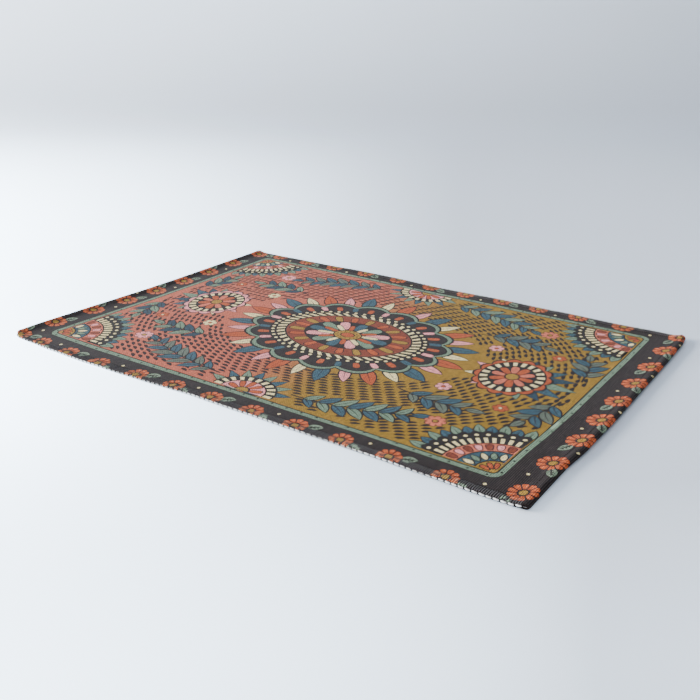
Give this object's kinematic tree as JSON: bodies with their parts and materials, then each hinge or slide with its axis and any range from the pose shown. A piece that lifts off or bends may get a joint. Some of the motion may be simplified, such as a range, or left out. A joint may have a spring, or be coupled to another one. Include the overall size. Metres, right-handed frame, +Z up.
{
  "type": "rug",
  "caption": "Thin flat woven rectangular rug with folded end hems, overlocked long edges, a flower border and a patterned centre, lying flat.",
  "frame": {"origin": "on the floor under the middle of the rug's outline", "axes": "+X along the rug's length towards the end nearer the camera, +Y across it towards the far long edge, +Z up from the floor"},
  "size_m": [0.9214, 0.619, 0.0089],
  "materials": {
    "cloth": "matte woven polyester with a printed face"
  },
  "bodies": {
    "root": {"rug_cloth": "cloth"}
  },
  "joints": []
}
